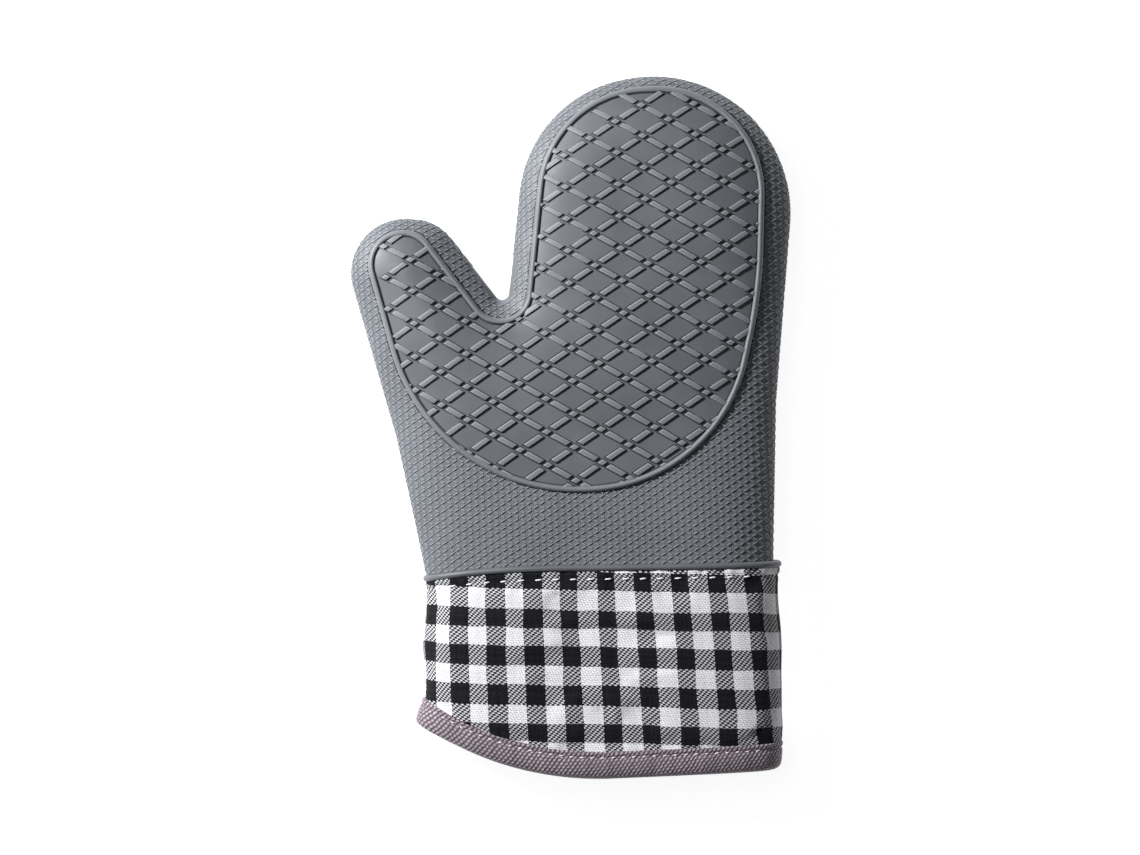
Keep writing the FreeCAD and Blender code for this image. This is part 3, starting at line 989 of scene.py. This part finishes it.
def mouth_columns():
    """The mouth's y at every column of the loop."""
    y = np.full(LOOP, MOUTH_Y)
    for _ in range(6):
        y = mouth_y(cuff_surface(y[None])[0][0, :, 0])
    return y


MOUTH = mouth_columns()


def rows_between(start, end, count):
    share = np.linspace(0, 1, count)[:, None]
    return start[None] * (1 - share) + end[None] * share


HEM = hem_y(cuff_surface(np.full((1, LOOP), HEM_Y))[0][0, :, 0])   # the hem's y at every column
CLOTH_RESTING = 0.1            # the cuff's back cloth lies on the table
TAPE_FLARE = 3.0               # the tape's left end stands out this far
FLARE_REACH = 7.0
CLOTH_SLIDE = 0.6              # how far the simulation may move the cloth along itself,
CLOTH_PUFF = (-0.25, 1.1)      # and in or out
TUBE_RESTING = 0.35


def flared(points, y):
    """Moves the left end of the mouth outwards, in every layer of the cuff."""
    way = np.clip(MOUTH + TAPE_WIDTH - y, 0, TAPE_WIDTH)
    left = points[..., 0].min(-1, keepdims=True)
    near = np.exp(-((points[..., 0] - left) / FLARE_REACH) ** 2)
    points = points.copy()
    points[..., 0] -= TAPE_FLARE * near * way / TAPE_WIDTH
    return points


def settle(piece, held, outward, frames=18):
    """Lets the cloth puff between the rows that hold it: a little along the surface, more out of it."""
    mesh = piece.data
    group = piece.vertex_groups.new(name="held")
    group.add([int(i) for i in held], 1.0, "REPLACE")
    cloth = piece.modifiers.new("cloth", "CLOTH")
    settings = dict(quality=5, mass=0.2, tension_stiffness=14, compression_stiffness=14, shear_stiffness=7,
                    bending_stiffness=0.7, air_damping=3, vertex_group_mass="held", use_pressure=True,
                    uniform_pressure_force=2.4, shrink_min=-0.02)
    for key, value in settings.items():
        setattr(cloth.settings, key, value)
    cloth.settings.effector_weights.gravity = 0
    cloth.point_cache.frame_start = 1
    cloth.point_cache.frame_end = frames
    scene = bpy.context.scene
    for number in range(1, frames + 1):
        scene.frame_set(number)
    evaluated = piece.evaluated_get(bpy.context.evaluated_depsgraph_get())
    after = np.array([v.co for v in evaluated.data.vertices]) / MM
    before = np.array([v.co for v in mesh.vertices]) / MM
    piece.modifiers.remove(cloth)
    scene.frame_set(1)
    move = after - before
    lift = (move * outward).sum(1, keepdims=True)
    slide = move - outward * lift
    slide *= np.minimum(1, CLOTH_SLIDE / np.maximum(np.linalg.norm(slide, axis=1, keepdims=True), 1e-9))
    low, high = CLOTH_PUFF
    lift = low + (high - low) / (1 + np.exp(-4 * (lift - (low + high) / 2) / (high - low)))
    lift -= low + (high - low) / (1 + math.exp(2 * (low + high) / (high - low)))
    after = before + slide + outward * lift
    after[:, 2] = np.maximum(after[:, 2], TUBE_RESTING)
    return after


def on_palm(piece, node):
    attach(piece, "palm")
    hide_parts(node)


def cuff_ply(name, node, look, points, rest, columns):
    """One ply of the cuff's cloth, from the grid of the whole tube."""
    ply = Shape()
    faces = grid_faces(len(points), len(columns))
    ply.add(points[:, columns].reshape(-1, 3), rest[:, columns].reshape(-1, 2), faces)
    piece = ply.piece(name, look)
    on_palm(piece, node)
    declare_cloth(ply)


def cuff_cloth():
    """The gingham: one tube, settled by simulation, then cut at the side seams."""
    y = rows_between(HEM + 1.0, MOUTH + 3.0, 60)
    points, rest, normal = cuff_surface(y)
    shape = Shape()
    shape.add(points.reshape(-1, 3), rest.reshape(-1, 2), grid_faces(len(y), LOOP, closed=True))
    tube = shape.piece("cuff_tube", GINGHAM_LOOK)
    held = held_rows(y)
    points = settle(tube, np.flatnonzero(held.ravel()), normal.reshape(-1, 3)).reshape(points.shape)
    bpy.data.objects.remove(tube)
    points = flared(points + normal * pucker(points[..., 0], HEM[None] - y)[..., None], y)
    points[..., 2] = np.maximum(points[..., 2], CLOTH_RESTING)
    for name, columns in PLIES.items():
        cuff_ply("gingham_" + name, "cuff_gingham_" + name, GINGHAM_LOOK,
                 points, rest, columns)
        inner = flared(cuff_surface(y, HAND_DEPTH - 0.3)[0], y)
        fill = closed_ply((points - normal * 0.8)[:, columns], inner[:, columns], rest[:, columns])
        wadding = fill.piece("cuff_filling_" + name, WADDING_LOOK)
        on_palm(wadding, "cuff_wadding_" + name)


def pucker(x, drop):
    """Small gathers between the hem and its stitches."""
    near = np.exp(-((drop - 2.6) / 1.7) ** 2)
    gather = 0.45 + 0.35 * np.sin(2 * math.pi * x / HEM_STITCH_PITCH) + 0.2 * np.sin(x * 1.9 + 1)
    return near * gather - 0.3 * np.exp(-((drop - HEM_STITCH_DROP) / 0.8) ** 2)


def held_rows(y):
    """The cloth is held at the hem, at the row of stitches, at the tape and at the side seams."""
    drop = HEM[None] - y
    held = drop < 0.8
    stitched = np.abs(drop - HEM_STITCH_DROP).argmin(0)
    every_third = np.arange(0, LOOP, 3)
    held[stitched[every_third], every_third] = True
    held |= y < MOUTH[None] + TAPE_WIDTH - 1.0
    held[:, [0, HALF_LOOP - 1]] = True
    return held


def declare_cloth(shape):
    """Gathers the rest coordinates of the cloth's pieces; nothing is done with them."""
    rest = np.concatenate(shape.rest)


def hem_bead():
    """The silicone's thick round edge."""
    shape = Shape()
    points, rest, normal = cuff_surface(HEM[None], 0.0, 0.1)
    centre, normal = points[0], normal[0]
    angles = np.linspace(0, 2 * math.pi, 13)[:-1]
    rings = []
    for a in angles:
        ring = centre + normal * (HEM_BEAD * math.cos(a))
        ring[:, 1] += HEM_BEAD * 1.05 * math.sin(a)
        ring[:, 2] = np.maximum(ring[:, 2], 0.1)
        rings.append(ring)
    flat = np.concatenate([rest[0] + [0, HEM_BEAD * a] for a in angles])
    faces = grid_faces(len(angles), LOOP, closed=True)
    last = (len(angles) - 1) * LOOP
    faces += [(last + c, last + (c + 1) % LOOP, (c + 1) % LOOP, c) for c in range(LOOP)]
    shape.add(np.concatenate(rings), flat, faces)
    piece = shape.piece("hem_bead", GRIP_LOOK)
    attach(piece, "palm")


def tape_profile():
    """Section of the folded tape as (way past its outer edge, height above the cloth) pairs."""
    outside = [(0.0, 0.0), (0.05, 0.55), (0.35, 0.85), (1.1, 0.95), (1.8, 0.85), (TAPE_STITCH_DROP, 0.36),
               (3.3, 0.90), (4.4, 1.05), (6.5, 1.10), (8.6, 1.05)]
    wall = HAND_DEPTH + 2 * 0.9
    start = TAPE_WIDTH - TAPE_FOLD
    turn = [(start + TAPE_FOLD * math.sin(a), 0.95 - wall / 2 * (1 - math.cos(a)))
            for a in np.linspace(0, math.pi, 13)]
    inside = [(way, -HAND_DEPTH - height) for way, height in outside[::-1]]
    return outside + turn + inside


def tape():
    shape = Shape()
    profile = tape_profile()
    column = np.arange(LOOP)
    crimp = 0.16 * np.sin(column * 0.9) * np.sin(column * 0.23 + 1) + 0.10 * np.sin(column * 2.1)
    points, rest = [], []
    run = 0.0
    for k, (way, height) in enumerate(profile):
        if k:
            run += math.hypot(way - profile[k - 1][0], height - profile[k - 1][1])
        y = (MOUTH + TAPE_WIDTH - way)[None]
        swell = np.clip(way / 3, 0, 1) * np.clip((TAPE_WIDTH - way) / 3, 0.2, 1)
        ring, flat, normal = cuff_surface(y)
        lifted = ring[0] + normal[0] * (height + crimp * swell)[:, None]
        lifted = flared(lifted[None], y)[0]
        lifted[:, 2] = np.maximum(lifted[:, 2], 0.02)
        points.append(lifted)
        rest.append(np.column_stack([flat[0, :, 0], np.full(LOOP, -run)]))
    shape.add(np.concatenate(points), np.concatenate(rest), grid_faces(len(profile), LOOP, closed=True))
    piece = shape.piece("binding", TAPE_LOOK)
    on_palm(piece, "binding_tape")


def stitch_row(name, node, ys, pitch, lift, look, length, slant):
    """A row of thread dashes round the cuff, front and back."""
    points, _, normal = cuff_surface(ys[None])
    line, normal = points[0], normal[0]
    shape = Shape()
    for low, high in ((RIM_COLUMNS - 4, HALF_LOOP - RIM_COLUMNS + 4),
                      (HALF_LOOP + RIM_COLUMNS - 5, LOOP - RIM_COLUMNS + 4)):
        part, up = line[low:high], normal[low:high]
        run = running(np.linalg.norm(np.diff(part, axis=0), axis=1))
        for start in np.arange(1.0, run[-1] - pitch, pitch):
            middle, further, rise = (np.array([np.interp(at, run, table[:, k]) for k in range(3)])
                                     for at, table in ((start, part), (start + 1, part), (start, up)))
            ahead = further - middle
            ahead /= np.linalg.norm(ahead)
            rise /= np.linalg.norm(rise)
            across = np.cross(rise, ahead)
            ahead = ahead * math.cos(slant) + across * math.sin(slant)
            across = np.cross(rise, ahead)
            dash(shape, middle, ahead, across, rise, length, lift, start)
    on_palm(shape.piece(name, look), node)


def dash(shape, middle, ahead, across, rise, length, lift, phase):
    """One stitch: a fat thread that dips into the cloth at both ends."""
    rows, ring = 9, 8
    points, rest = [], []
    for share in np.linspace(-1, 1, rows):
        fat = math.sqrt(max(0.04, 1 - abs(share) ** 3))
        height = lift + 0.32 * (1 - share ** 2) - 0.22
        for a in np.linspace(0, 2 * math.pi, ring, endpoint=False):
            offset = across * (THREAD_WIDTH / 2 * fat * math.cos(a))
            offset = offset + rise * (height + THREAD_WIDTH * 0.42 * fat * math.sin(a))
            points.append(middle + ahead * (length / 2 * share) + offset)
            rest.append((phase + length / 2 * share + 0.2 * a, a))
    faces = grid_faces(rows, ring, closed=True)
    faces.append(tuple(range(ring))[::-1])
    faces.append(tuple((rows - 1) * ring + k for k in range(ring)))
    points = np.array(points)
    points[:, 2] = np.maximum(points[:, 2], 0.02)
    shape.add(points, rest, faces)


def cuff_lining():
    y = rows_between(HEM - 0.2, MOUTH + 4.0, 24)
    points, rest, _ = cuff_surface(y, HAND_DEPTH)
    points = flared(points, y)
    for name, columns in PLIES.items():
        cuff_ply("cuff_lining_cloth_" + name, "cuff_lining_" + name, LINING_LOOK,
                 points, rest, columns)


def closed_ply(outer, inner, rest):
    """A padded ply between two grids, closed round its edge."""
    rows, columns = outer.shape[:2]
    shape = Shape()
    count = rows * columns
    faces = grid_faces(rows, columns)
    faces += [tuple(i + count for i in f[::-1]) for f in grid_faces(rows, columns)]
    edge = list(range(columns)) + [r * columns + columns - 1 for r in range(1, rows)]
    edge += [(rows - 1) * columns + c for c in range(columns - 2, -1, -1)]
    edge += [r * columns for r in range(rows - 2, 0, -1)]
    for k, a in enumerate(edge):
        b = edge[(k + 1) % len(edge)]
        faces.append((b, a, a + count, b + count))
    points = np.concatenate([outer.reshape(-1, 3), inner.reshape(-1, 3)])
    shape.add(points, np.tile(rest.reshape(-1, 2), (2, 1)), faces)
    return shape


# ================================================================ inner layers of the mitten
def mitten_inside():
    grid = mitten_grid(4.0, 6.0)
    for ply, side in (("front", 1), ("back", -1)):
        lining = mitten_layer("lining_cloth_" + ply, LINING_LOOK, grid, side, [HAND_DEPTH])
        stand_for(lining, "lining_" + ply)
        for stretch in lining.values():
            declare_cloth(unrolled(stretch))
        fill = mitten_layer("filling_" + ply, WADDING_LOOK, grid, side, FILLING_DEPTHS)
        stand_for(fill, "wadding_" + ply)


def mitten_layer(name, look, grid, side, depths):
    shape = Shape()
    for depth in depths:
        add_face(shape, grid, side, depth, rows=7)
    return in_three(trimmed(shape.piece(name, look)), name)


def unrolled(piece):
    """The rest coordinates and faces of a finished piece."""
    shape = Shape()
    rest = np.zeros(len(piece.data.vertices) * 3)
    piece.data.attributes["rest"].data.foreach_get("vector", rest)
    faces = [list(face.vertices) for face in piece.data.polygons]
    shape.add(rest.reshape(-1, 3), rest.reshape(-1, 3), faces)
    return shape


# ================================================================ build
silicone_skin()
grip_panel(1, "grip_front")
grip_panel(-1, "grip_back")
hem_bead()
cuff_cloth()
tape()
cuff_lining()
mitten_inside()
stitch_row("hem_thread", "hem_stitches", HEM - HEM_STITCH_DROP, HEM_STITCH_PITCH,
           lift=0.32, look=HEM_THREAD_LOOK, length=2.9, slant=0.08)
stitch_row("binding_thread", "binding_stitches", MOUTH + TAPE_WIDTH - TAPE_STITCH_DROP, TAPE_STITCH_PITCH,
           lift=0.50, look=TAPE_THREAD_LOOK, length=2.1, slant=0.22)


# ================================================================ stage
FLOOR_GLOW = 0.85              # the white table is lit from below as well
FLOOR_SIZE = 3.0               # metres, from the middle to each side
VIEW_WIDTH = 0.4701            # metres that the picture spans at the mitt's palm face
VIEW_MIDDLE = (-0.0035, 0.0011)
VIEW_TURN = -2.4               # degrees


def floor():
    mesh = bpy.data.meshes.new("floor")
    size = FLOOR_SIZE
    corners = [(-size, -size, 0), (size, -size, 0), (size, size, 0), (-size, size, 0)]
    mesh.from_pydata(corners, [], [(0, 1, 2, 3)])
    n = Nodes("floor")
    place = n.node("TexCoord", "Object")
    cloud = n.noise(place, 3.0, 3)
    n.shader.inputs["Emission Color"].default_value = (1, 1, 1, 1)
    n.shader.inputs["Emission Strength"].default_value = FLOOR_GLOW
    mesh.materials.append(n.set(color=n.mix(cloud, (0.86, 0.86, 0.86, 1), (0.90, 0.90, 0.90, 1)), rough=0.9,
                                specular=0.1))
    linked("floor", mesh)


def area_light(name, place, size, power):
    """A soft light, in metres and watts, that faces the mitt."""
    light = bpy.data.lights.new(name, "AREA")
    light.size = size
    light.energy = power
    obj = linked(name, light)
    obj.location = place
    obj.rotation_euler = (-Vector(place)).to_track_quat("-Z", "Y").to_euler()


def stage():
    floor()
    world = bpy.data.worlds.new("studio")
    bpy.context.scene.world = world
    world.use_nodes = True
    color, strength = world.node_tree.nodes["Background"].inputs[:2]
    color.default_value = (1, 1, 1, 1)
    strength.default_value = 0.10
    area_light("key", (-0.68, 0.46, 0.58), 0.10, 23.0)
    area_light("top", (-0.5, 0.4, 1.4), 0.8, 2.0)
    camera = bpy.data.cameras.new("camera")
    camera.lens = 85
    camera.sensor_width = 36
    obj = linked("camera", camera)
    height = VIEW_WIDTH * camera.lens / camera.sensor_width
    obj.location = (*VIEW_MIDDLE, SHELL_HIGH[2] * MM + height)
    obj.rotation_euler = (0, 0, math.radians(VIEW_TURN))
    bpy.context.scene.camera = obj
    bpy.context.scene.view_settings.view_transform = "Standard"


stage()
